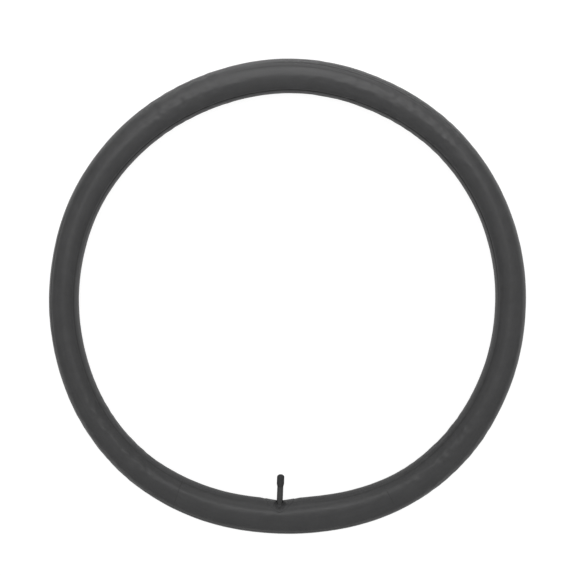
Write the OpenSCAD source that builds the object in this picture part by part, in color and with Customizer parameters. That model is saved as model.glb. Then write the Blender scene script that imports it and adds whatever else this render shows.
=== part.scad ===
// Bicycle inner tube with a rubber-covered car-type valve, lightly inflated and lying flat.
// Millimetres. The origin is the centre of the ring, +Z is the ring's axis, and the valve
// stands on the inside of the ring at -Y and points along +Y, to the centre.
// The valve's pieces are drawn in the valve's own frame, with z = 0 at the tube's inner
// surface and +z out along the stem, and at_valve() puts them in place.

/* [Tube] */
// Inner diameter of the ring, which is the bead seat of the rim it fits
ring_inner_d = 559; // [507:1:622]
// Diameter of the inflated section
section_d = 43.5; // [38:0.5:50]
// Thickness of the rubber once it is inflated
tube_wall = 0.6; // [0.5:0.1:1]

/* [Valve base] */
// Diameter of the reinforcing patch round the valve hole
patch_d = 40; // [34:1:42]
// Thickness of the patch
patch_t = 0.8; // [0.5:0.1:1]
// Diameter of the rubber foot moulded on the stem
foot_d = 20; // [18:1:24]
// Thickness of the foot at its edge
foot_t = 0.9; // [0.6:0.1:1.2]

/* [Valve stem] */
// Height of the brass tip above the tube
tip_h = 32; // [32:0.5:40]
// Length of the bare thread at the tip
thread_l = 11; // [10.5:0.1:11.5]
// Diameter over the rubber, which passes the rim's valve hole
sleeve_d = 8.2; // [8:0.1:8.4]
// Outside diameter of the cap and pump thread
cap_thread_d = 7.7; // [7.6:0.05:7.75]
// Pitch of the cap and pump thread
cap_thread_pitch = 0.794; // [0.75:0.001:0.8]

/* [Valve core] */
// Outside diameter of the core's thread
core_thread_d = 5.2; // [5.1:0.05:5.3]
// Pitch of the core's thread
core_thread_pitch = 0.706; // [0.68:0.001:0.72]
// Diameter of the core's pin
pin_d = 1.1; // [1:0.05:1.2]
// Wire of the core's spring
spring_wire_d = 0.3; // [0.2:0.05:0.3]
// Turns of the core's spring
spring_turns = 7; // [5:1:8]

/* [Dust cap] */
// Diameter of the cap
cap_d = 10; // [10:0.1:11]
// Length of the cap
cap_l = 16.9; // [16.5:0.1:18]
// Diameter of the cap's mouth
cap_mouth_d = 8.4; // [8.4:0.1:9]
// Number of grip flutes
cap_flutes = 8; // [6:1:12]

/* [Hidden] */

$fn = 64;
ring_fn = 180;
running_gap = 0.05;
eps = 0.01;
// Where a thread ridge's foot and crest start, as shares of the pitch.
ridge_foot = 0.1;
ridge_crest = 0.42;

section_r = section_d / 2;
ring_inner_r = ring_inner_d / 2;
ring_r = ring_inner_r + section_r;

air_hole_r = 1.5;
sleeve_r = sleeve_d / 2;
sleeve_top = tip_h - thread_l;
sleeve_root = -2;
sleeve_fillet_h = 3.5;
sleeve_fillet_r = 7;
// How far in and how high the flare's two middle points are.
sleeve_flare = [[1.2, 0.9], [2.2, 2.1]];
sleeve_round = 0.4;

stem_bottom = 1.2;
stem_neck_r = 3;
stem_base_r = 3.6;
stem_base_t = 0.8;
stem_shoulder_h = 0.6;
anchor_r = 3.25;
anchor_start = 4;
anchor_ridges = 4;
anchor_pitch = 3;
cap_thread_r = cap_thread_d / 2;
cap_root_r = cap_thread_r - 0.43;
tip_chamfer = 0.5;

// Heights inside the stem are counted down from its tip, as the core stands in the tip.
chamber_r = 2.1;
chamber_bottom = tip_h - 24.2;
chamber_cone_h = 0.6;
seat_low = tip_h - 8;
seat_high = tip_h - 6.8;
seat_r = 2.35;
core_thread_r = core_thread_d / 2;
core_root_r = core_thread_r - 0.32;
core_thread_low = tip_h - 5.6;
core_thread_turns = 5;
core_thread_gap = 0.1;
stem_thread_turns = 7;
bore_lead = 0.4;
bore_step = 0.1;

plug_low = tip_h - 6.1;
plug_lip_top = tip_h - 5.7;
plug_top = tip_h - 0.8;
plug_body_top = core_thread_low + core_thread_turns * core_thread_pitch;
plug_bore_r = 0.95;
plug_bridge_w = 2.6;
plug_bridge_r = 2.2;

barrel_low = tip_h - 19;
barrel_top = tip_h - 5;
barrel_r = 1.75;
barrel_lip_r = 1.5;
barrel_lip_h = 1.2;
barrel_chamfer_h = 0.6;
barrel_bore_r = 1.25;
barrel_guide_low = tip_h - 9;
barrel_guide_r = 0.85;
barrel_collar_r = 1.65;
barrel_collar_h = 0.4;
barrel_neck_r = 1.35;
gasket_low = tip_h - 8.1;
gasket_high = tip_h - 6.2;
gasket_bore_r = 1.5;
gasket_rest_r = 1.95;
gasket_rest_t = 0.6;
gasket_gap = 0.02;
gasket_land = 0.2;

pin_r = pin_d / 2;
pin_top = tip_h - 0.3;
pin_bottom = tip_h - 21.4;
pin_head_r = 0.85;
pin_head_h = 0.8;
pin_head_chamfer = 0.25;
pin_collar_low = tip_h - 11;
pin_collar_h = 0.5;
pin_collar_r = 1.05;
cup_r = 1.7;
cup_low = tip_h - 21.1;
cup_floor = 0.6;
cup_wall = 0.3;
cup_gap = 0.1;
cup_round = 0.2;

spring_r = 0.9;
spring_sides = 6;
spring_steps = 14;

cap_r = cap_d / 2;
cap_low = sleeve_top + 0.2;
cap_top = cap_low + cap_l;
cap_skirt_h = 4.6;
cap_mouth_r = cap_mouth_d / 2;
cap_bore_r = cap_thread_r + running_gap;
cap_seal_t = 1;
cap_seal_r = cap_bore_r - running_gap;
cap_seal_bore_r = 2.2;
cap_head_r = 2.6;
cap_head_h = 1.5;
flute_r = 0.6;
flute_depth = 0.22;

rubber = [0.23, 0.23, 0.23];
stem_rubber = [0.16, 0.16, 0.16];
cap_plastic = [0.13, 0.13, 0.13];
brass = [0.78, 0.62, 0.33];
steel = [0.72, 0.72, 0.72];
seal_rubber = [0.1, 0.1, 0.1];
seal_red = [0.6, 0.12, 0.08];

// ---- shared shapes ----

// A solid ring of the given section radius, round the origin.
module ring(r) {
    rotate_extrude($fn = ring_fn)
        translate([ring_r, 0])
            circle(r = r);
}

// Puts a piece drawn in the valve's frame in its place on the ring.
module at_valve() {
    translate([0, -ring_inner_r, 0])
        rotate([-90, 0, 0])
            children();
}

// A tube standing on z = low.
module sleeve_ring(outer_r, inner_r, low, high) {
    translate([0, 0, low])
        difference() {
            cylinder(r = outer_r, h = high - low);
            translate([0, 0, -eps])
                cylinder(r = inner_r, h = high - low + 2 * eps);
        }
}

// Outline points of a run of thread ridges, from the bottom up.
function ridges(low, turns, pitch, root, crest) = [
    for (i = [0 : turns - 1])
        for (p = [[root, ridge_foot], [crest, ridge_crest],
                  [crest, 1 - ridge_crest], [root, 1 - ridge_foot]])
            [p[0], low + (i + p[1]) * pitch]
];

// ---- tube ----

// The butyl tube: a thin closed ring with one air hole, under the valve.
module tube_body() {
    color(rubber)
        difference() {
            ring(section_r);
            ring(section_r - tube_wall);
            at_valve()
                translate([0, 0, -section_r / 2])
                    cylinder(r = air_hole_r, h = section_r);
        }
}

// The thin round patch that strengthens the tube round the air hole.
module valve_patch() {
    color(rubber)
        difference() {
            intersection() {
                ring(section_r + patch_t);
                at_valve()
                    translate([0, 0, -section_r])
                        cylinder(d = patch_d, h = 1.5 * section_r);
            }
            ring(section_r);
            at_valve()
                translate([0, 0, -section_r / 2])
                    cylinder(r = air_hole_r, h = section_r);
        }
}

// ---- valve stem ----

// The rubber moulding over the brass: a straight stem on a flared foot.
module valve_sleeve() {
    color(stem_rubber)
        difference() {
            union() {
                intersection() {
                    ring(section_r + patch_t + foot_t);
                    at_valve()
                        translate([0, 0, -section_r / 4])
                            cylinder(d = foot_d, h = section_r / 2);
                }
                at_valve()
                    rotate_extrude()
                        sleeve_outline();
            }
            ring(section_r + patch_t);
            at_valve()
                rotate_extrude()
                    stem_outline();
            at_valve()
                cylinder(r = air_hole_r, h = sleeve_top / 2);
        }
}

module sleeve_outline() {
    polygon([
        [0, sleeve_root], [sleeve_fillet_r, sleeve_root],
        for (p = sleeve_flare) [sleeve_fillet_r - p[0], p[1]],
        [sleeve_r, sleeve_fillet_h],
        [sleeve_r, sleeve_top - sleeve_round],
        [sleeve_r - sleeve_round, sleeve_top],
        [0, sleeve_top],
    ]);
}

// Outer outline of the brass, from its base in the rubber to the tip.
module stem_outline() {
    polygon(concat(
        [
            [0, stem_bottom], [stem_base_r, stem_bottom],
            [stem_base_r, stem_bottom + stem_base_t],
            [stem_neck_r, stem_bottom + stem_base_t],
        ],
        ridges(stem_bottom + anchor_start, anchor_ridges, anchor_pitch, stem_neck_r, anchor_r),
        [[stem_neck_r, sleeve_top - stem_shoulder_h], [cap_root_r, sleeve_top]],
        ridges(sleeve_top, floor((thread_l - tip_chamfer) / cap_thread_pitch),
               cap_thread_pitch, cap_root_r, cap_thread_r),
        [[cap_root_r, tip_h - tip_chamfer], [cap_root_r - tip_chamfer / 2, tip_h], [0, tip_h]]
    ));
}

// The space inside the brass: air way, chamber, seat for the core's gasket, and core thread.
module stem_bore_outline() {
    thread_root_r = core_thread_r + core_thread_gap;
    thread_crest_r = core_root_r + core_thread_gap;
    polygon(concat(
        [
            [0, stem_bottom - eps], [air_hole_r, stem_bottom - eps],
            [air_hole_r, chamber_bottom - chamber_cone_h], [chamber_r, chamber_bottom],
            [chamber_r, seat_low], [seat_r, seat_high],
            [thread_crest_r, seat_high + bore_step],
        ],
        ridges(core_thread_low - core_thread_pitch, stem_thread_turns, core_thread_pitch,
               thread_crest_r, thread_root_r),
        [[thread_crest_r, tip_h - bore_lead], [thread_root_r, tip_h - bore_step],
         [thread_root_r, tip_h + eps], [0, tip_h + eps]]
    ));
}

// The brass tube in the rubber, threaded outside for the cap and inside for the core.
module valve_stem() {
    color(brass)
        at_valve()
            rotate_extrude()
                difference() {
                    stem_outline();
                    stem_bore_outline();
                }
}

// ---- valve core ----

// The threaded plug that holds the core, with a two-sided bridge for the core tool.
module core_plug() {
    color(brass)
        at_valve() {
            difference() {
                union() {
                    rotate_extrude()
                        polygon(concat(
                            [[0, plug_low], [core_root_r, plug_low]],
                            ridges(core_thread_low, core_thread_turns, core_thread_pitch,
                                   core_root_r, core_thread_r),
                            [[core_root_r, plug_body_top], [0, plug_body_top]]
                        ));
                    intersection() {
                        cylinder(r = plug_bridge_r, h = plug_top);
                        translate([-plug_bridge_w / 2, -core_thread_d, plug_body_top - eps])
                            cube([plug_bridge_w, 2 * core_thread_d, plug_top]);
                    }
                }
                translate([0, 0, plug_low - eps])
                    cylinder(r = barrel_neck_r + running_gap, h = plug_lip_top - plug_low + 2 * eps);
                translate([0, 0, plug_lip_top])
                    cylinder(r = barrel_collar_r + running_gap, h = barrel_top + running_gap - plug_lip_top);
                cylinder(r = plug_bore_r, h = tip_h);
            }
        }
}

// The core's barrel, hung in the plug by its collar so that it can swivel.
module core_barrel() {
    color(brass)
        at_valve()
            rotate_extrude()
                polygon([
                    [barrel_guide_r, barrel_low], [barrel_lip_r, barrel_low],
                    [barrel_r, barrel_low + barrel_chamfer_h], [barrel_r, gasket_low - gasket_rest_t],
                    [gasket_rest_r, gasket_low - gasket_rest_t], [gasket_rest_r, gasket_low],
                    [gasket_bore_r, gasket_low], [gasket_bore_r, gasket_high],
                    [barrel_neck_r, gasket_high],
                    [barrel_neck_r, barrel_top - barrel_collar_h],
                    [barrel_collar_r, barrel_top - barrel_collar_h],
                    [barrel_collar_r, barrel_top], [barrel_guide_r, barrel_top],
                    [barrel_guide_r, barrel_guide_low], [barrel_bore_r, barrel_guide_low],
                    [barrel_bore_r, barrel_low + barrel_lip_h],
                    [barrel_guide_r, barrel_low + barrel_lip_h],
                ]);
}

// The tapered ring that seals the barrel against the seat in the stem.
module core_gasket() {
    taper = (seat_r - chamber_r) / (seat_high - seat_low);
    function seal_r(z) = chamber_r - gasket_gap + taper * (z - seat_low);
    color(seal_red)
        at_valve()
            rotate_extrude()
                polygon([
                    [gasket_bore_r, gasket_low], [seal_r(gasket_low), gasket_low],
                    [seal_r(seat_high - gasket_land), seat_high - gasket_land],
                    [seal_r(seat_low), gasket_high],
                    [gasket_bore_r, gasket_high],
                ]);
}

// The pin that a pump pushes in, with a collar for the spring.
module core_pin() {
    color(steel)
        at_valve()
            rotate_extrude()
                polygon([
                    [0, pin_bottom], [pin_r, pin_bottom],
                    [pin_r, pin_collar_low], [pin_collar_r, pin_collar_low],
                    [pin_collar_r, pin_collar_low + pin_collar_h],
                    [pin_r, pin_collar_low + pin_collar_h],
                    [pin_r, pin_top - pin_head_h], [pin_head_r, pin_top - pin_head_h],
                    [pin_head_r, pin_top - pin_head_chamfer], [pin_head_r - pin_head_chamfer, pin_top],
                    [0, pin_top],
                ]);
}

// The cup on the pin's lower end, which carries the seal.
module core_cup() {
    color(brass)
        at_valve()
            rotate_extrude()
                polygon([
                    [pin_r, cup_low], [cup_r - cup_round, cup_low], [cup_r, cup_low + cup_round],
                    [cup_r, barrel_low - cup_gap], [cup_r - cup_wall, barrel_low - cup_gap],
                    [cup_r - cup_wall, cup_low + cup_floor], [pin_r, cup_low + cup_floor],
                ]);
}

// The rubber in the cup, which closes the barrel's lower end.
module core_cup_seal() {
    color(seal_rubber)
        at_valve()
            sleeve_ring(cup_r - cup_wall, pin_r, cup_low + cup_floor, barrel_low);
}

// Points of the coil spring's wire, one ring of points for each step along the coil.
spring_low = barrel_low + barrel_lip_h + spring_wire_d / 2;
spring_high = pin_collar_low - spring_wire_d / 2;
spring_rings = spring_turns * spring_steps;
function spring_point(i, k) =
    let (
        turn = 360 * i / spring_steps,
        side = 360 * k / spring_sides,
        r = spring_r + spring_wire_d / 2 * cos(side),
        z = spring_low + (spring_high - spring_low) * i / spring_rings
    )
    [r * cos(turn), r * sin(turn), z + spring_wire_d / 2 * sin(side)];

// The spring that holds the cup's seal up against the barrel.
module core_spring() {
    n = spring_sides;
    color(steel)
        at_valve()
            polyhedron(
                points = [for (i = [0 : spring_rings]) for (k = [0 : n - 1]) spring_point(i, k)],
                faces = concat(
                    [[for (k = [0 : n - 1]) k]],
                    [for (i = [0 : spring_rings - 1]) for (k = [0 : n - 1])
                        [i * n + k, (i + 1) * n + k, (i + 1) * n + (k + 1) % n]],
                    [for (i = [0 : spring_rings - 1]) for (k = [0 : n - 1])
                        [i * n + k, (i + 1) * n + (k + 1) % n, i * n + (k + 1) % n]],
                    [[for (k = [n - 1 : -1 : 0]) spring_rings * n + k]]
                )
            );
}

// ---- dust cap ----

// Right half of the cap's outer outline: curved skirt, straight body and round end.
module cap_outline() {
    body_low = cap_low + cap_skirt_h;
    dome_z = cap_top - cap_r;
    inset = cap_r - cap_mouth_r;
    skirt_r = (pow(cap_skirt_h, 2) + pow(inset, 2)) / (2 * inset);
    intersection() {
        translate([cap_r - skirt_r, body_low])
            circle(r = skirt_r, $fn = 256);
        translate([0, cap_low])
            square([cap_r, cap_skirt_h]);
    }
    translate([0, body_low])
        square([cap_r, dome_z - body_low]);
    intersection() {
        translate([0, dome_z])
            circle(r = cap_r);
        translate([0, dome_z])
            square(cap_r);
    }
}

// The plastic cap, bored to screw over the tip, with grip flutes.
module cap_shell() {
    color(cap_plastic)
        at_valve()
            difference() {
                rotate_extrude()
                    cap_outline();
                translate([0, 0, cap_low - eps])
                    cylinder(r = cap_bore_r, h = tip_h + cap_seal_t - cap_low + eps);
                translate([0, 0, tip_h])
                    cylinder(r = cap_head_r, h = cap_seal_t + cap_head_h);
                for (i = [0 : cap_flutes - 1])
                    rotate([0, 0, 90 + i * 360 / cap_flutes])
                        translate([cap_r + flute_r - flute_depth, 0, cap_low + cap_skirt_h])
                            cylinder(r = flute_r, h = cap_top - cap_r - cap_low - cap_skirt_h);
            }
}

// The soft washer in the cap, which presses on the tip of the stem.
module cap_seal() {
    color(seal_rubber)
        at_valve()
            sleeve_ring(cap_seal_r, cap_seal_bore_r, tip_h, tip_h + cap_seal_t);
}

tube_body();
valve_patch();
valve_sleeve();
valve_stem();
core_plug();
core_barrel();
core_gasket();
core_spring();
core_pin();
core_cup();
core_cup_seal();
cap_shell();
cap_seal();
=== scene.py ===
"""A lightly inflated bicycle inner tube lying flat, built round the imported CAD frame.

Everything is in metres and in the CAD's frame: the ring's axis is +Z, and the valve
stands on the inside of the ring at -Y and points along +Y, to the centre.
"""
import math

import bmesh
import bpy
import numpy as np
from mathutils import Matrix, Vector, noise


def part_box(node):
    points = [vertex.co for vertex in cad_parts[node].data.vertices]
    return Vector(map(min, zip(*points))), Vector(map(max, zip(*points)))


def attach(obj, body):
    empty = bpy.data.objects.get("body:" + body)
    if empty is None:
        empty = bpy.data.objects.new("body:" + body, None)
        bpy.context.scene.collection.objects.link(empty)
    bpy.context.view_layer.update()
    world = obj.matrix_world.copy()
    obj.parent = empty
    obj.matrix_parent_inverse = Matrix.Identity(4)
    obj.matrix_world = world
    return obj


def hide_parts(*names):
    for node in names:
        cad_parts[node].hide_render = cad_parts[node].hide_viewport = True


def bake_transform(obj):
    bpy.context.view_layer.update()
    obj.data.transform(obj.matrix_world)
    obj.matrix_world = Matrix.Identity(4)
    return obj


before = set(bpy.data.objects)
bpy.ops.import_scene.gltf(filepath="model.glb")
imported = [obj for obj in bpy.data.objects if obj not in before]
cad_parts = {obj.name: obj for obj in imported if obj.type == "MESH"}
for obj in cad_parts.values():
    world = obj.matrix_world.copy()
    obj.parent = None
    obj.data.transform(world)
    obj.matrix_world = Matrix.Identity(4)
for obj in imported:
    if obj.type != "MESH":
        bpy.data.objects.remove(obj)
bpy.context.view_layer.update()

MM = 0.001
TAU = 2 * math.pi

# ---- sizes taken from the frame ----

tube_low, tube_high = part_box("tube_body")
stem_low, stem_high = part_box("valve_stem")
patch_low, patch_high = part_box("valve_patch")
cap_low, cap_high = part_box("cap_shell")
washer_low, washer_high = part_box("cap_seal")
spring_low, spring_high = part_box("core_spring")

SECTION_R = tube_high[2]
FLOOR = tube_low[2]
RING_R = tube_high[0] - SECTION_R
BEAD_R = RING_R - SECTION_R
TIP_Y = stem_high[1]
SLEEVE_TOP_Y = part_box("valve_sleeve")[1][1]

# ---- the tube's free shape ----

# Degrees from the valve, clockwise from above; how far the middle of the section stands
# outside its nominal circle, and the section's half width, both in millimetres.
FREE_SHAPE = [
    (0, -3.0, 23.8),
    (20, 1.3, 23.0),
    (35, 5.2, 21.8),
    (50, 6.3, 20.8),
    (70, 3.6, 20.2),
    (90, 1.1, 20.0),
    (115, 0.0, 21.2),
    (140, -3.3, 22.8),
    (160, -4.4, 23.2),
    (180, -3.3, 23.4),
    (200, -3.9, 22.8),
    (225, -1.4, 21.6),
    (245, -0.8, 20.8),
    (270, -0.2, 20.6),
    (290, 1.7, 21.2),
    (310, 3.9, 22.6),
    (325, 3.2, 23.2),
    (340, -0.6, 24.2),
    (350, -3.0, 24.4),
]
# The tube rests on the floor on a narrow flat strip.
CONTACT_SINK = 0.15 * MM

# The skin is drawn in round the valve's stiff foot, mostly on the upper side.
DIMPLE_DEPTH = 4.2 * MM
DIMPLE_HALF_WIDTH = 9.0 * MM
DIMPLE_HALF_HEIGHT = 9.5 * MM
DIMPLE_Z = 8 * MM
# A wider notch carries the dimple out into the skin, deepest at the valve.
NOTCH_DEPTH = 4.1 * MM
NOTCH_HALF_WIDTH = 23 * MM
NOTCH_HALF_HEIGHT = 22 * MM
NOTCH_ROUNDING = 4 * MM
# Both begin this far behind the middle of the section, and grow to their depth over the span.
DRAWN_IN_START = 2 * MM
DRAWN_IN_SPAN = 0.6 * SECTION_R
# Radius of the rubber over the stem.
STEM_RUBBER_R = 4.1 * MM
# A narrow well lets the stem down to its foot.
WELL_DEPTH = 2.2 * MM
WELL_R = STEM_RUBBER_R + 0.3 * MM
WELL_WALL = 0.9 * MM
# The rubber stands up in a low lip round the well.
LIP_HEIGHT = 0.35 * MM
LIP_WIDTH = 0.7 * MM
LIP_OFFSET = 1.6 * WELL_WALL
# The tube under the patch stays this much clear of the well's wall.
WELL_CLEARANCE = 1.5 * MM

# Heights of the rubber's broad bulges, blotches and streaks.
BROAD_SWELL = 0.30 * MM
BLOTCH_SWELL = 0.50 * MM
STREAK_SWELL = 0.06 * MM
# Their features' length round the ring and width round the section, and their seed.
BROAD_NOISE = (75 * MM, 30 * MM, 1)
BLOTCH_NOISE = (9 * MM, 6 * MM, 2)
STREAK_NOISE = (70 * MM, 5 * MM, 3)
# Each step of the seed reads the noise this much further on.
SEED_SHIFT = (7.3, 3.1, 5.7)
# The smaller this is, the further up from the floor they fade out.
SWELL_FADE = 1.6

# The skin is blotched along these stretches: degrees from the valve, half length in degrees.
BLOTCHED = [(-48, 15), (48, 19), (150, 14), (207, 26)]
# A stretch fades out at this many half lengths from its middle.
BLOTCH_END = 1.4
# How blotched the skin is elsewhere, against 1 there.
PLAIN_BLOTCH = 0.25

# Two fine marks cross the tube, either side of the valve: degrees from it, lean in degrees,
# and how far round the section they reach from the top.
CROSS_MARKS = [(-29.2, 0.5, 40), (26.8, 1.4, 75)]
CROSS_MARK_DEPTH = 0.16 * MM
CROSS_MARK_WIDTH = 0.55 * MM
# Degrees round the section over which they fade out.
CROSS_MARK_FADE = 25

# A groove this deep gets the full painted shade: darkest and most matt.
CREASE_SHADE_FULL = 0.5 * MM

# Long creases run round the ring. Each has the degrees from the valve where it starts and
# ends, its place round the section at either end (0 inside, 90 on top), and its depth and
# width in millimetres.
LONG_CREASES = [
    (2, 122, 41, 42, 0.22, 1.2),
    (92, 282, 30, 30, 0.55, 1.0),
    (262, 358, 43, 41, 0.20, 1.2),
    (168, 222, 134, 126, 0.28, 0.9),
    (180, 232, 144, 134, 0.26, 0.9),
    (160, 206, 120, 114, 0.20, 1.0),
    (70, 112, 138, 141, 0.26, 1.2),
    (-30, 40, 150, 148, 0.26, 1.0),
]
# Share of a long crease's length over which it fades at either end.
CREASE_FADE = 0.2


def periodic_curve(angle, knots, column):
    """A smooth closed curve through the knots' values, by angle in degrees."""
    at = np.array([k[0] for k in knots], float)
    value = np.array([k[column] for k in knots], float)
    at = np.concatenate([at[-2:] - 360, at, at[:2] + 360])
    value = np.concatenate([value[-2:], value, value[:2]])
    slope = np.gradient(value, at)
    angle = np.mod(angle, 360)
    i = np.clip(np.searchsorted(at, angle, side="right") - 1, 0, len(at) - 2)
    span = at[i + 1] - at[i]
    u = (angle - at[i]) / span
    return (
        (1 + 2 * u) * (1 - u) ** 2 * value[i]
        + u * (1 - u) ** 2 * span * slope[i]
        + u * u * (3 - 2 * u) * value[i + 1]
        + u * u * (u - 1) * span * slope[i + 1]
    )


def smooth_step(x):
    """Goes smoothly from 0 to 1 as x does, and stays level outside."""
    x = np.clip(x, 0, 1)
    return x * x * (3 - 2 * x)


def noise_field(points, seed):
    """Smooth noise, -1 to 1, at the points."""
    shift = Vector([seed * step for step in SEED_SHIFT])
    return np.array([noise.noise(Vector(p) + shift) for p in points])


def skin(alpha, phi):
    """Points and normals of the tube's plain free shape.

    alpha is the angle round the ring from the valve and phi the angle round the section,
    0 on the inside and positive upwards, both in radians.
    """
    degrees = np.degrees(alpha)
    half_w = periodic_curve(degrees, FREE_SHAPE, 2) * MM
    half_h = np.sqrt(2 * SECTION_R ** 2 - half_w ** 2)
    middle_r = RING_R + periodic_curve(degrees, FREE_SHAPE, 1) * MM
    rho = middle_r - half_w * np.cos(phi)
    z = FLOOR - CONTACT_SINK + half_h * (1 + np.sin(phi))
    z = np.maximum(z, FLOOR)
    normal_rho = -np.cos(phi) / half_w
    normal_z = np.sin(phi) / half_h
    length = np.hypot(normal_rho, normal_z)
    normal_rho, normal_z = normal_rho / length, normal_z / length
    points = np.stack([-rho * np.sin(alpha), -rho * np.cos(alpha), z], -1)
    normals = np.stack([-normal_rho * np.sin(alpha), -normal_rho * np.cos(alpha), normal_z], -1)
    return points, normals


def from_floor(phi):
    """Angle round the section from the floor, 0 to a full turn."""
    return np.mod(phi + math.pi / 2, TAU)


def ring_noise(alpha, phi, length, width, seed):
    """Noise with features of the given length round the ring and width round the section.

    It is read along a circle, so that it closes on itself round the ring. Round the section
    it starts and ends on the floor.
    """
    place = np.stack([
        np.cos(alpha) * RING_R / length,
        np.sin(alpha) * RING_R / length,
        from_floor(phi) * SECTION_R / width,
    ], -1)
    return noise_field(place, seed)


def blotches(alpha, phi):
    """The blotches' height, -1 to 1: small bulges, strongest along a few stretches."""
    degrees = np.degrees(alpha)
    share = np.full_like(alpha, PLAIN_BLOTCH)
    for middle, reach in BLOTCHED:
        away = np.abs(np.mod(degrees - middle + 180, 360) - 180)
        share = np.maximum(share, smooth_step(BLOTCH_END - away / reach))
    return share * ring_noise(alpha, phi, *BLOTCH_NOISE)


def swell(alpha, phi):
    """How far the rubber stands out of the plain shape. It fades out at the floor."""
    fade = smooth_step(SWELL_FADE * np.sin(from_floor(phi) / 2))
    broad = BROAD_SWELL * ring_noise(alpha, phi, *BROAD_NOISE)
    blotch = BLOTCH_SWELL * blotches(alpha, phi)
    streak = STREAK_SWELL * ring_noise(alpha, phi, *STREAK_NOISE)
    return fade * (broad + blotch + streak)


def long_creases(alpha, phi):
    """The long fine grooves, each fading out at its ends."""
    depth = np.zeros_like(alpha)
    degrees = np.degrees(alpha)
    for start, end, phi_start, phi_end, groove, width in LONG_CREASES:
        share = np.mod(degrees - start, 360) / (end - start)
        inside = smooth_step(share / CREASE_FADE) * smooth_step((1 - share) / CREASE_FADE)
        place = np.radians(phi_start + (phi_end - phi_start) * np.clip(share, 0, 1))
        away = (np.mod(phi - place + math.pi, TAU) - math.pi) * SECTION_R / (width * MM)
        depth -= inside * groove * MM * np.exp(-(away ** 2))
    return depth


def cross_marks(alpha, phi):
    """The fine grooves of the two marks that cross the tube."""
    depth = np.zeros_like(alpha)
    from_top = np.degrees(np.abs(from_floor(phi) - math.pi))
    for degrees, lean, reach in CROSS_MARKS:
        centre = np.radians(degrees + lean * np.cos(phi) / 2)
        away = (alpha - centre) * RING_R
        fade = smooth_step((reach - from_top) / CROSS_MARK_FADE)
        depth -= fade * CROSS_MARK_DEPTH * np.exp(-((away / CROSS_MARK_WIDTH) ** 2))
    return depth


def dimple(points, well_r):
    """How far the skin round the valve is drawn in along the valve's axis."""
    x, y, z = points.T
    near_valve = y < -BEAD_R / 2
    facing = near_valve * smooth_step((y + RING_R + DRAWN_IN_START) / DRAWN_IN_SPAN)
    up = (z - DIMPLE_Z) / DIMPLE_HALF_HEIGHT
    hollow = DIMPLE_DEPTH * (1 - smooth_step(np.hypot(x / DIMPLE_HALF_WIDTH, up)))
    away = np.hypot(x, NOTCH_ROUNDING) - NOTCH_ROUNDING
    notch = NOTCH_DEPTH * (1 - np.minimum(1, away / NOTCH_HALF_WIDTH))
    notch = notch * (1 - smooth_step(np.abs(z) / NOTCH_HALF_HEIGHT))
    reach = np.hypot(x, z)
    well = WELL_DEPTH * (1 - smooth_step((reach - well_r) / WELL_WALL))
    lip = LIP_HEIGHT * np.exp(-(((reach - well_r - LIP_OFFSET) / LIP_WIDTH) ** 2))
    return facing * (hollow + notch) + near_valve * (y > -RING_R) * (well - lip)


def shaped_skin(alpha, phi, offset=0.0, well_r=WELL_R):
    """Points of the finished skin, raised by offset along the plain shape's normal."""
    points, normals = skin(alpha, phi)
    drawn_in = dimple(points, well_r)
    height = swell(alpha, phi) + cross_marks(alpha, phi) + long_creases(alpha, phi) + offset
    points = points + normals * height[:, None]
    points[:, 1] -= drawn_in
    points[:, 2] = np.maximum(points[:, 2], FLOOR)
    return points


# ---- mesh helpers ----

# Points along a rounded edge.
FILLET_POINTS = 5
# Points closer together than this are one point.
WELD_DISTANCE = 0.0001 * MM


def make_object(name, points, faces, smooth=True):
    """A new mesh object in the scene, with no material or body yet."""
    mesh = bpy.data.meshes.new(name)
    mesh.from_pydata([tuple(map(float, p)) for p in points], [], faces)
    mesh.validate()
    mesh.update()
    if smooth:
        mesh.polygons.foreach_set("use_smooth", [True] * len(mesh.polygons))
    piece = bpy.data.objects.new(name, mesh)
    bpy.context.scene.collection.objects.link(piece)
    return piece


def grid_faces(rows, columns, closed=True, flip=False):
    """Quads of a grid of points whose rows are rings, the last joined to the first if closed."""
    faces = []
    for i in range(rows if closed else rows - 1):
        for j in range(columns):
            a = i * columns + j
            b = i * columns + (j + 1) % columns
            c = (i + 1) % rows * columns + (j + 1) % columns
            d = (i + 1) % rows * columns + j
            faces.append((a, d, c, b) if flip else (a, b, c, d))
    return faces


def turned(name, outline, radius_at=None, sides=96):
    """A closed ring turned about the valve's axis from an outline of (radius, y) points.

    The outline is a closed loop, counter-clockwise with radius to the right and y up.
    radius_at(radius, y, angle) can change the radius round the axis, for a thread or flutes.
    """
    r, y = np.repeat(np.array(outline), sides, axis=0).T
    w = np.tile(np.arange(sides) * TAU / sides, len(outline))
    if radius_at:
        r = radius_at(r, y, w)
    points = np.stack([r * np.sin(w), y, r * np.cos(w)], -1)
    return make_object(name, points, grid_faces(len(outline), sides))


def fillet(centre_r, centre_y, radius, start, stop):
    """Points of an arc about (centre_r, centre_y), from one angle to another, in degrees."""
    return [(centre_r + radius * math.cos(a), centre_y + radius * math.sin(a))
            for a in np.radians(np.linspace(start, stop, FILLET_POINTS))]


def straight(start, end, step):
    """Points from start to end, no further than step apart, both ends included."""
    start, end = np.array(start, float), np.array(end, float)
    count = max(1, int(math.ceil(np.linalg.norm(end - start) / step)))
    return [tuple(start + (end - start) * i / count) for i in range(count + 1)]


def weld_axis(piece):
    """Joins the points that meet on the valve's axis, where a turned outline reaches it."""
    mesh = bmesh.new()
    mesh.from_mesh(piece.data)
    bmesh.ops.remove_doubles(mesh, verts=mesh.verts, dist=WELD_DISTANCE)
    mesh.to_mesh(piece.data)
    mesh.free()


def split_sharp(piece, degrees):
    """Keeps edges sharper than this crisp under smooth shading."""
    piece.data.set_sharp_from_angle(angle=math.radians(degrees))


# ---- materials ----


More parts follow.
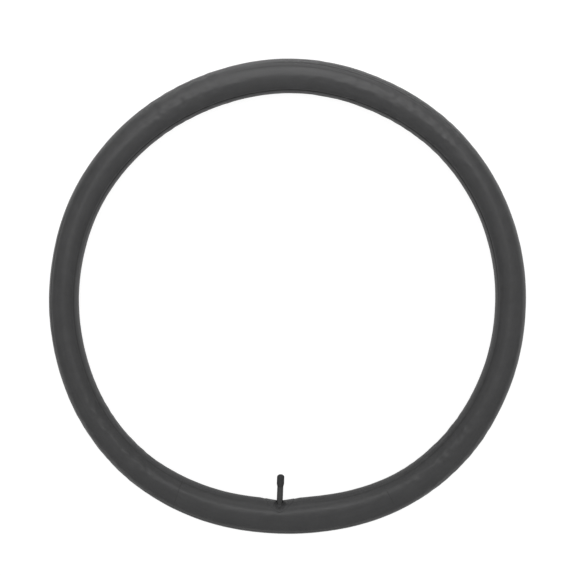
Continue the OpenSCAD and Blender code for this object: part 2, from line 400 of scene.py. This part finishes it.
class Shading:
    """The nodes of one material or world, and short ways to add the usual ones."""

    def __init__(self, tree):
        self.nodes = tree.nodes
        self.links = tree.links

    def put(self, value, socket):
        """Links a node's output to the socket, or sets a plain number or colour there."""
        if isinstance(value, bpy.types.NodeSocket):
            self.links.new(value, socket)
        elif isinstance(value, tuple):
            socket.default_value = (*value, 1)
        else:
            socket.default_value = value

    def place(self):
        """The point on the object."""
        return self.nodes.new("ShaderNodeTexCoord").outputs["Object"]

    def painted(self, name):
        """The number that paint() kept at each point."""
        node = self.nodes.new("ShaderNodeAttribute")
        node.attribute_name = name
        return node.outputs["Fac"]

    def seen(self):
        """1 where the camera looks straight at the surface, and 0 for light and reflections."""
        return self.nodes.new("ShaderNodeLightPath").outputs["Is Camera Ray"]

    def split(self, vector):
        node = self.nodes.new("ShaderNodeSeparateXYZ")
        self.put(vector, node.inputs[0])
        return node.outputs

    def join(self, *values):
        node = self.nodes.new("ShaderNodeCombineXYZ")
        for value, socket in zip(values, node.inputs):
            self.put(value, socket)
        return node.outputs[0]

    def calculate(self, operation, *values):
        node = self.nodes.new("ShaderNodeMath")
        node.operation = operation
        for value, socket in zip(values, node.inputs):
            self.put(value, socket)
        return node.outputs["Value"]

    def total(self, first, *others):
        for other in others:
            first = self.calculate("ADD", first, other)
        return first

    def noise(self, scale, detail, roughness=0.5, vector=None, w=None):
        """Noise from 0 to 1 at a vector, at a number w, or at both."""
        node = self.nodes.new("ShaderNodeTexNoise")
        if vector is None:
            node.noise_dimensions = "1D"
        else:
            node.noise_dimensions = "3D" if w is None else "4D"
            self.put(vector, node.inputs["Vector"])
        if w is not None:
            self.put(w, node.inputs["W"])
        node.inputs["Scale"].default_value = scale
        node.inputs["Detail"].default_value = detail
        node.inputs["Roughness"].default_value = roughness
        return node.outputs["Fac"]

    def remap(self, factor, source, target):
        """Maps factor from the source range to the target range."""
        node = self.nodes.new("ShaderNodeMapRange")
        for name, value in zip(("From Min", "From Max", "To Min", "To Max"), source + target):
            node.inputs[name].default_value = value
        self.put(factor, node.inputs["Value"])
        return node.outputs["Result"]

    def mix(self, factor, first, second):
        """A colour that goes from first to second as factor goes from 0 to 1."""
        node = self.nodes.new("ShaderNodeMix")
        node.data_type = "RGBA"
        for value, socket in zip((first, second), [s for s in node.inputs if s.type == "RGBA"]):
            self.put(value, socket)
        self.put(factor, node.inputs["Factor"])
        return next(s for s in node.outputs if s.type == "RGBA")

    def bump(self, height, distance, strength, under=None):
        node = self.nodes.new("ShaderNodeBump")
        node.inputs["Distance"].default_value = distance
        node.inputs["Strength"].default_value = strength
        self.put(height, node.inputs["Height"])
        if under is not None:
            self.put(under, node.inputs["Normal"])
        return node.outputs["Normal"]


def new_material(name):
    """A new material, its nodes, and the sockets of its shader."""
    material = bpy.data.materials.new(name)
    material.use_nodes = True
    return material, Shading(material.node_tree), material.node_tree.nodes["Principled BSDF"].inputs


def butyl_material():
    """Satin butyl: mottled near-black, with long streaks from moulding and painted shade darkening its
    creases.
    """
    dark, pale, painted_crease_shade = (0.0265, 0.0265, 0.0275), (0.042, 0.042, 0.043), (0.008, 0.008, 0.008)
    along, across = 9.0, 260.0
    material, shade, surface = new_material("butyl_rubber")
    place = shade.place()
    x, y, z = shade.split(place)
    rho = shade.calculate("SQRT", shade.calculate(
        "ADD", shade.calculate("MULTIPLY", x, x), shade.calculate("MULTIPLY", y, y)))

    # Streaks run along the ring: fine across the section, long round it.
    streak_place = shade.join(
        shade.calculate("MULTIPLY", x, along),
        shade.calculate("MULTIPLY", y, along),
        shade.calculate("MULTIPLY", z, across))
    streaks = shade.noise(1.0, 3.0, vector=streak_place, w=shade.calculate("MULTIPLY", rho, across))
    clouds = shade.noise(42.0, 5.0, 0.6, vector=place)
    specks = shade.noise(420.0, 3.0, 0.7, vector=place)
    grain = shade.noise(1500.0, 2.0, 0.6, vector=place)
    crease_shade_mask = shade.painted("crease_shade_mask")

    tone = shade.total(
        shade.remap(clouds, (0.3, 0.7), (0.0, 0.6)),
        shade.remap(specks, (0.35, 0.7), (0.0, 0.25)),
        shade.remap(streaks, (0.4, 0.7), (0.0, 0.25)))
    mottled = shade.mix(tone, dark, pale)
    # Painted shade: the grooves are darkened towards near-black by their depth.
    shade.put(shade.mix(crease_shade_mask, mottled, painted_crease_shade), surface["Base Color"])
    roughness = shade.total(
        shade.remap(clouds, (0.3, 0.7), (0.30, 0.42)),
        shade.remap(specks, (0.3, 0.7), (-0.03, 0.05)),
        shade.remap(crease_shade_mask, (0.0, 1.0), (0.0, 0.4)))
    shade.put(roughness, surface["Roughness"])
    surface["Sheen Weight"].default_value = 0.04
    surface["Sheen Roughness"].default_value = 0.4
    surface["Specular IOR Level"].default_value = 0.5

    normal = shade.bump(streaks, 0.18 * MM, 0.6)
    normal = shade.bump(specks, 0.12 * MM, 0.35, normal)
    normal = shade.bump(grain, 0.03 * MM, 0.4, normal)
    shade.put(normal, surface["Normal"])
    return material


def moulded_material(name, dark, light, roughness):
    """Moulded rubber or plastic: a fine grain and faint handling marks."""
    material, shade, surface = new_material(name)
    place = shade.place()
    clouds = shade.noise(160.0, 4.0, 0.6, vector=place)
    grain = shade.noise(3600.0, 2.0, 0.5, vector=place)
    marks = shade.remap(clouds, (0.3, 0.7), (0.0, 1.0))
    shade.put(shade.mix(marks, dark, light), surface["Base Color"])
    shade.put(shade.remap(clouds, (0.3, 0.7), (roughness - 0.05, roughness + 0.07)),
              surface["Roughness"])
    shade.put(shade.bump(grain, 0.03 * MM, 0.5), surface["Normal"])
    surface["Specular IOR Level"].default_value = 0.35
    return material


def turned_metal(name, dark, light, roughness):
    """Metal turned on a lathe: fine rings round the valve's axis, and a little tarnish."""
    material, shade, surface = new_material(name)
    place = shade.place()
    rings = shade.noise(9000.0, 2.0, w=shade.split(place)["Y"])
    clouds = shade.noise(500.0, 4.0, 0.6, vector=place)
    tarnish = shade.remap(clouds, (0.35, 0.65), (0.0, 1.0))
    shade.put(shade.mix(tarnish, dark, light), surface["Base Color"])
    shade.put(shade.remap(clouds, (0.3, 0.7), (roughness - 0.06, roughness + 0.1)),
              surface["Roughness"])
    shade.put(shade.bump(rings, 0.02 * MM, 0.5), surface["Normal"])
    surface["Metallic"].default_value = 1.0
    return material


def give(piece, material, body=None):
    """Gives a piece its material and the body that it rides on."""
    piece.data.materials.clear()
    piece.data.materials.append(material)
    if body:
        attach(piece, body)


# ---- the tube ----


def ring_angles():
    """Angles round the ring, closer together at the valve and at the cross marks."""
    coarse, fine, finest = 0.36, 0.12, 0.06
    mark_reach, well_reach, patch_reach = 1.3, 1.7, 4.5
    angles = []
    degrees = -180.0
    while degrees < 180 - coarse / 2:
        angles.append(degrees)
        near_mark = any(abs(degrees - mark) < mark_reach for mark, _, _ in CROSS_MARKS)
        if near_mark or abs(degrees) < well_reach:
            degrees += finest
        elif abs(degrees) < patch_reach:
            degrees += fine
        else:
            degrees += coarse
    return np.radians(angles)


def section_angles():
    """Angles round the section, closer together on the side that can be seen."""
    side_start, side_end = -30, 210
    upper = np.linspace(side_start, side_end, 176, endpoint=False)
    under = np.linspace(side_end, side_start + 360, 30, endpoint=False)
    return np.radians(np.concatenate([upper, under]))


def paint(piece, name, values):
    """Keeps a number from 0 to 1 at each point, for the material to read."""
    layer = piece.data.attributes.new(name, "FLOAT", "POINT")
    layer.data.foreach_set("value", np.clip(values, 0, 1).astype(np.float32))


def build_tube(rubber):
    """The whole skin of the tube, with the painted shade of its grooves kept for the material."""
    alpha = ring_angles()
    phi = section_angles()
    grid_alpha = np.repeat(alpha, len(phi))
    grid_phi = np.tile(phi, len(alpha))
    points = shaped_skin(grid_alpha, grid_phi, well_r=WELL_R + WELL_CLEARANCE)
    faces = grid_faces(len(alpha), len(phi), flip=True)
    piece = make_object("tube_skin", points, faces)
    # The grooves' depth is kept as their painted shade for the material.
    grooves = long_creases(grid_alpha, grid_phi) + cross_marks(grid_alpha, grid_phi)
    paint(piece, "crease_shade_mask", -grooves / CREASE_SHADE_FULL)
    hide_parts("tube_body")
    give(piece, rubber, "root")


def build_patch(rubber):
    """The thin bonded patch: a disc that follows the skin, with a rounded edge."""
    radius = (patch_high[0] - patch_low[0]) / 2
    sides = 128
    hole = STEM_RUBBER_R - 0.3 * MM
    well_edge = WELL_R + 2 * WELL_WALL
    edge = 1.1 * MM
    thickness = 0.5 * MM
    depth = 0.4 * MM
    reach = np.concatenate([
        np.linspace(hole, well_edge, 14, endpoint=False),
        np.linspace(well_edge, radius - edge, 26, endpoint=False),
        np.linspace(radius - edge, radius, 8),
    ])
    rings = len(reach)
    reach = np.repeat(reach, sides)
    turn = np.tile(np.arange(sides) * TAU / sides, rings)
    rise = thickness * np.sqrt(np.maximum(0, 1 - np.maximum(0, (reach - radius + edge) / edge) ** 2))
    # The patch is round as seen along the valve, so its height round the section is an arc.
    across = np.stack([
        reach * np.cos(turn) / BEAD_R,
        np.arcsin(reach * np.sin(turn) / SECTION_R),
    ], -1)
    top = np.column_stack([across, rise])
    under = np.column_stack([across, np.full(len(reach), -depth)])
    # The lower side runs from the rim inwards, each ring in the same sense as above.
    under = under.reshape(rings, sides, 3)[::-1].reshape(-1, 3)
    rows = np.vstack([top, under])
    points = shaped_skin(rows[:, 0], rows[:, 1], rows[:, 2])
    piece = make_object("patch_skin", points, grid_faces(2 * rings, sides))
    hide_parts("valve_patch")
    give(piece, rubber, "root")


# ---- the valve ----

CAP_THREAD_PITCH = 0.794 * MM
CAP_THREAD_R = 3.85 * MM
CAP_THREAD_DEPTH = 0.43 * MM
CAP_THREAD_ROOT_R = CAP_THREAD_R - CAP_THREAD_DEPTH
CORE_THREAD_PITCH = 0.706 * MM
CORE_THREAD_DEPTH = 0.3 * MM
# Share of a thread's pitch that is flat at its crest, and again at its root.
THREAD_FLAT = 0.125
# Outlines are this finely stepped where they carry a thread.
THREAD_STEP = 0.07 * MM
# Step along the plain stretches of an outline.
PLAIN_STEP = 2 * MM

# The sleeve's flare, from its foot up: radius, and height over the ring's inner line, in
# millimetres.
SLEEVE_FLARE = [
    (9.0, -9.8),
    (7.2, -8.9),
    (6.2, -7.6),
    (5.4, -5.8),
    (4.8, -4.0),
    (4.35, -2.4),
    (4.15, -1.0),
]


def thread_height(y, w, pitch, depth):
    """Height of a right-hand 60 degree thread above its root, at y and angle w."""
    turn = np.mod((y - TIP_Y) / pitch - w / TAU, 1.0)
    from_crest = np.abs(2 * turn - 1)
    return depth * np.clip((1 - from_crest - THREAD_FLAT) / (1 - 2 * THREAD_FLAT), 0, 1)


def build_sleeve(rubber):
    """The moulded rubber over the stem: straight, with a flared foot in the hollow."""
    inner_line_y = -BEAD_R
    foot_y = inner_line_y - 11 * MM
    foot_r = 9.5 * MM
    bore_r = 3.0 * MM
    edge_r = 0.4 * MM
    top_y = SLEEVE_TOP_Y
    outline = (
        straight((bore_r, foot_y), (foot_r, foot_y), 1 * MM)
        + [(r * MM, inner_line_y + height * MM) for r, height in SLEEVE_FLARE]
        + straight((STEM_RUBBER_R, inner_line_y + 0.5 * MM), (STEM_RUBBER_R, top_y - 0.5 * MM), 1 * MM)
        + fillet(STEM_RUBBER_R - edge_r, top_y - edge_r, edge_r, 0, 90)
        + straight((3.45 * MM, top_y), (3.3 * MM, top_y - 1 * MM), 0.5 * MM)
        + straight((3.1 * MM, top_y - 2 * MM), (bore_r, foot_y + 1 * MM), PLAIN_STEP)
    )
    piece = turned("stem_rubber_sleeve", outline)
    split_sharp(piece, 50)
    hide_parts("valve_sleeve")
    give(piece, rubber, "root")


def build_stem(brass):
    """The brass stem, with its cap thread outside and its core thread in the bore."""
    low_y = stem_low[1]
    shoulder_y = SLEEVE_TOP_Y - 0.6 * MM
    thread_end_y = TIP_Y - 6.4 * MM
    chamber_end_y = TIP_Y - 24.2 * MM
    air_r = 1.6 * MM
    chamber_r = 2.1 * MM
    shank_r = 3.0 * MM
    # The core's thread is cut outwards from a bore that narrows a little as it goes down.
    thread_top_r, thread_low_r = 2.5 * MM, 2.38 * MM
    root_r = CAP_THREAD_ROOT_R
    outline = (
        straight((air_r, low_y), (shank_r, low_y), 1 * MM)
        + straight((shank_r, low_y + 0.5 * MM), (root_r - 0.2 * MM, shoulder_y), PLAIN_STEP)
        + straight((root_r, shoulder_y + 0.3 * MM), (root_r, TIP_Y - 0.5 * MM), THREAD_STEP)
        # The rounded tip and the lead into the bore.
        + [(root_r - 0.02 * MM, TIP_Y - 0.3 * MM), (root_r - 0.3 * MM, TIP_Y - 0.02 * MM)]
        + [(root_r - 0.35 * MM, TIP_Y), (2.75 * MM, TIP_Y), (2.7 * MM, TIP_Y - 0.03 * MM)]
        + straight((thread_top_r, TIP_Y - 0.35 * MM), (thread_low_r, thread_end_y), THREAD_STEP)
        # The core's seat, the chamber round its barrel and the air way below.
        + straight((2.35 * MM, TIP_Y - 6.8 * MM), (chamber_r, TIP_Y - 8 * MM), 0.3 * MM)
        + straight((chamber_r, TIP_Y - 8.3 * MM), (chamber_r, chamber_end_y), PLAIN_STEP)
        + straight((air_r, chamber_end_y - 0.6 * MM), (air_r, low_y + 1 * MM), PLAIN_STEP)
    )
    run_in = 0.5 * MM
    slack = 0.05 * MM

    def threaded(r, y, w):
        outside = (r > shank_r + 2 * slack) & (y > shoulder_y + 0.3 * MM - slack)
        fade = smooth_step((y - shoulder_y) / (0.8 * MM)) * smooth_step((TIP_Y - y) / run_in)
        raised = fade * thread_height(y, w, CAP_THREAD_PITCH, CAP_THREAD_DEPTH)
        in_bore = (r > thread_low_r - slack) & (r < thread_top_r + slack) & (y > thread_end_y - slack)
        cut = thread_height(y, w, CORE_THREAD_PITCH, CORE_THREAD_DEPTH)
        cut = cut * smooth_step((y - thread_end_y) / run_in)
        return r + np.where(outside, raised, 0) + np.where(in_bore, cut, 0)

    piece = turned("stem_brass_thread", outline, threaded, sides=72)
    split_sharp(piece, 35)
    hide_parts("valve_stem")
    give(piece, brass, "root")


def build_spring(steel):
    """The core's coil spring, a round wire with closed ends."""
    wire_r = 0.15 * MM
    turns, steps, sides = 7, 28, 10
    # Share of the rise that is drawn to the middle, so that the end turns lie closer together.
    closing = 0.35
    coil_r = (spring_high[0] - spring_low[0]) / 2 - wire_r
    low, high = spring_low[1] + wire_r, spring_high[1] - wire_r
    count = turns * steps + 1
    points = []
    for i in range(count):
        share = i / (count - 1)
        w = TAU * turns * share
        y = low + (high - low) * (closing * smooth_step(share) + (1 - closing) * share)
        for j in range(sides):
            a = TAU * j / sides
            r = coil_r + wire_r * math.cos(a)
            points.append((r * math.sin(w), y + wire_r * math.sin(a), r * math.cos(w)))
    faces = grid_faces(count, sides, closed=False)
    faces.append(tuple(range(sides)))
    faces.append(tuple((count - 1) * sides + j for j in range(sides))[::-1])
    piece = make_object("core_spring_wire", points, faces)
    split_sharp(piece, 60)
    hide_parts("core_spring")
    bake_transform(piece)
    give(piece, steel)


# ---- the dust cap ----

CAP_FLUTES = 8
# Depth of a flute, and its half width as a share of the pitch from flute to flute.
FLUTE_DEPTH = 0.22 * MM
FLUTE_WIDTH = 0.13


def build_cap(plastic):
    """The dust cap: round end, fluted grip, waisted skirt, and a real thread inside."""
    outer_r = (cap_high[0] - cap_low[0]) / 2
    mouth_r = 4.2 * MM
    low, high = cap_low[1], cap_high[1]
    crown_height = 3.9 * MM
    grip_low, grip_high = low + 4.6 * MM, high - crown_height
    thread_low, thread_high = low + 0.7 * MM, low + 6.2 * MM
    groove_r = CAP_THREAD_ROOT_R + 0.08 * MM
    bore_r = CAP_THREAD_R + 0.1 * MM
    head_r = 2.6 * MM
    ceiling = washer_high[1]

    skirt = [(outer_r - (outer_r - mouth_r) * (1 - smooth_step(float(share))),
              low + (grip_low - low) * share)
             for share in np.linspace(0, 1, 14)]
    skirt[0] = (mouth_r, low + 0.15 * MM)
    crown = [(outer_r * math.cos(a), grip_high + crown_height * math.sin(a))
             for a in np.radians(np.linspace(0, 90, 26))]
    # The head space over the washer, from its middle outwards and down.
    head = [
        (0, high - 1.2 * MM),
        (2.0 * MM, ceiling + 1.5 * MM),
        (2.5 * MM, ceiling + 1.45 * MM),
        (head_r, ceiling + 1.3 * MM),
        (head_r, ceiling + 0.05 * MM),
        (head_r + 0.1 * MM, ceiling),
        (bore_r - 0.1 * MM, ceiling),
        (bore_r, ceiling - 0.1 * MM),
    ]
    outline = (
        [(mouth_r - 0.12 * MM, low)]
        + skirt
        + straight((outer_r, grip_low + 0.25 * MM), (outer_r, grip_high - 0.25 * MM), 0.25 * MM)
        + crown
        + head
        + straight((bore_r, ceiling - 0.5 * MM), (bore_r, thread_high + 0.4 * MM), 0.8 * MM)
        + straight((groove_r, thread_high), (groove_r, thread_low), THREAD_STEP)
        + [(bore_r, thread_low - 0.35 * MM), (bore_r + 0.02 * MM, low)]
    )

    def shaped(r, y, w):
        grip = smooth_step((y - grip_low + 0.6 * MM) / (1.2 * MM))
        grip = grip * smooth_step((grip_high + 1.4 * MM - y) / (2 * MM))
        turn = np.mod(w * CAP_FLUTES / TAU, 1.0) - 0.5
        flute = FLUTE_DEPTH * grip * np.exp(-((turn / FLUTE_WIDTH) ** 2))
        outside = r > 4.0 * MM
        inside = np.abs(r - groove_r) < 0.01 * MM
        ridge = thread_height(y, w, CAP_THREAD_PITCH, CAP_THREAD_DEPTH)
        return r - np.where(outside, flute, 0) + np.where(inside, ridge, 0)

    piece = turned("cap_fluted_shell", outline, shaped, sides=128)
    weld_axis(piece)
    split_sharp(piece, 40)
    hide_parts("cap_shell")
    give(piece, plastic, "cap")


def build_washer(rubber):
    """The cap's sealing washer, with rounded edges and the stem's print in its face."""
    low, high = washer_low[1], washer_high[1]
    outer_r = (washer_high[0] - washer_low[0]) / 2
    inner_r, round_r = 2.2 * MM, 0.15 * MM
    printed = [(2.8 * MM, 0.01 * MM), (3.0 * MM, 0.06 * MM), (3.2 * MM, 0.01 * MM)]
    outline = (
        [(inner_r + round_r, low)]
        + [(r, low + depth) for r, depth in printed]
        + fillet(outer_r - round_r, low + round_r, round_r, -90, 0)
        + fillet(outer_r - round_r, high - round_r, round_r, 0, 90)
        + fillet(inner_r + round_r, high - round_r, round_r, 90, 180)
        + fillet(inner_r + round_r, low + round_r, round_r, 180, 260)
    )
    piece = turned("cap_washer_ring", outline, sides=72)
    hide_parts("cap_seal")
    give(piece, rubber, "cap_washer")


# ---- floor, lights and camera ----

# Softboxes past the far side: place, target, width, height, power, and spread in degrees. The
# first hangs high over it. The second lights the rubber's upper side. The third stands low and
# shows in the rubber's outer slope. The last lights the floor beyond the ring.
SOFTBOXES = {
    "overhead_softbox": ((0, 0.75, 2.4), (0, 0, 0), 1.3, 0.40, 6.0, 180),
    "far_softbox": ((0, 0.84, 0.50), (0, 0.46, 0), 1.7, 0.70, 1.05, 62),
    "far_panel": ((0, 0.95, 0.13), (0, 0, 0.06), 1.8, 0.30, 1.3, 180),
    "far_floor_softbox": ((0, 0.52, 0.26), (0, 0.52, 0), 1.3, 0.16, 1.6, 44),
}
# The surround's brightness by height: 0 straight down, 0.5 at the horizon, 1 straight up.
SURROUND = [(0.0, 0.9), (0.47, 0.9), (0.485, 0.04), (0.53, 0.04), (0.58, 0.62), (1.0, 0.78)]


def build_floor():
    """A plain pale floor.

    To the camera it is darker but glows evenly, so it looks as white as in the photo. To the
    light it is an ordinary pale floor that doesn't glow.
    """
    size = 2.2
    corners = [(-size, -size, FLOOR), (size, -size, FLOOR), (size, size, FLOOR), (-size, size, FLOOR)]
    floor = make_object("floor", corners, [(0, 1, 2, 3)], smooth=False)
    material, shade, surface = new_material("floor_white")
    seen = shade.seen()
    shade.put(shade.mix(seen, (0.84, 0.84, 0.84), (0.22, 0.22, 0.22)), surface["Base Color"])
    shade.put(shade.calculate("MULTIPLY", seen, 0.90), surface["Emission Strength"])
    surface["Emission Color"].default_value = (1, 1, 1, 1)
    surface["Roughness"].default_value = 0.9
    surface["Specular IOR Level"].default_value = 0.2
    floor.data.materials.append(material)


def build_world():
    """A soft studio surround, pale above and below with a dark band at the horizon.

    The camera sees it plain and nearly white.
    """
    world = bpy.data.worlds.new("studio")
    bpy.context.scene.world = world
    world.use_nodes = True
    shade = Shading(world.node_tree)
    background = shade.nodes["Background"]
    height = shade.split(shade.nodes.new("ShaderNodeTexCoord").outputs["Generated"])["Z"]
    ramp = shade.nodes.new("ShaderNodeValToRGB")
    elements = ramp.color_ramp.elements
    while len(elements) < len(SURROUND):
        elements.new(0.5)
    for element, (place, level) in zip(elements, SURROUND):
        element.position = place
        element.color = (level, level, level, 1)
    shade.put(shade.calculate("MULTIPLY_ADD", height, 0.5, 0.5), ramp.inputs["Fac"])
    shade.put(shade.mix(shade.seen(), ramp.outputs["Color"], (0.95, 0.95, 0.95)),
              background.inputs["Color"])
    background.inputs["Strength"].default_value = 1.0


def build_lights():
    for name, (place, target, width, height, power, spread) in SOFTBOXES.items():
        light = bpy.data.lights.new(name, "AREA")
        light.shape = "RECTANGLE"
        light.size, light.size_y = width, height
        light.energy = power
        light.spread = math.radians(spread)
        lamp = bpy.data.objects.new(name, light)
        lamp.location = place
        lamp.rotation_euler = (Vector(target) - Vector(place)).to_track_quat("-Z", "Y").to_euler()
        bpy.context.scene.collection.objects.link(lamp)


def build_camera():
    """Straight above the ring, with the valve a little left of the bottom."""
    camera = bpy.data.cameras.new("camera")
    camera.lens = 85
    camera.sensor_width = 36
    view_width = 0.7793
    distance = view_width * camera.lens / camera.sensor_width
    roll = math.radians(2.31)
    above_centre = 10.7 * MM
    holder = bpy.data.objects.new("camera", camera)
    holder.location = (-above_centre * math.sin(roll), above_centre * math.cos(roll), distance)
    holder.rotation_euler = (0, 0, roll)
    bpy.context.scene.collection.objects.link(holder)
    bpy.context.scene.camera = holder
    bpy.context.scene.view_settings.view_transform = "Standard"


# ---- put together ----

butyl = butyl_material()
stem_rubber = moulded_material("stem_rubber", (0.042, 0.042, 0.042), (0.060, 0.060, 0.060), 0.72)
cap_plastic = moulded_material("cap_plastic", (0.021, 0.021, 0.022), (0.032, 0.032, 0.033), 0.42)
black_seal = moulded_material("seal_rubber", (0.018, 0.018, 0.018), (0.030, 0.030, 0.030), 0.60)
red_seal = moulded_material("red_seal_rubber", (0.36, 0.035, 0.02), (0.48, 0.06, 0.035), 0.55)
brass = turned_metal("turned_brass", (0.66, 0.47, 0.20), (0.80, 0.61, 0.30), 0.24)
steel = turned_metal("drawn_steel", (0.50, 0.50, 0.49), (0.66, 0.66, 0.65), 0.28)

build_tube(butyl)
build_patch(butyl)
build_sleeve(stem_rubber)
build_stem(brass)
build_spring(steel)
build_cap(cap_plastic)
build_washer(black_seal)

# The core's small parts keep their CAD shape.
CORE_MATERIALS = {
    "core_plug": brass,
    "core_barrel": brass,
    "core_cup": brass,
    "core_pin": steel,
    "core_gasket": red_seal,
    "core_cup_seal": black_seal,
}
for node, material in CORE_MATERIALS.items():
    give(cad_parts[node], material)

build_floor()
build_world()
build_lights()
build_camera()
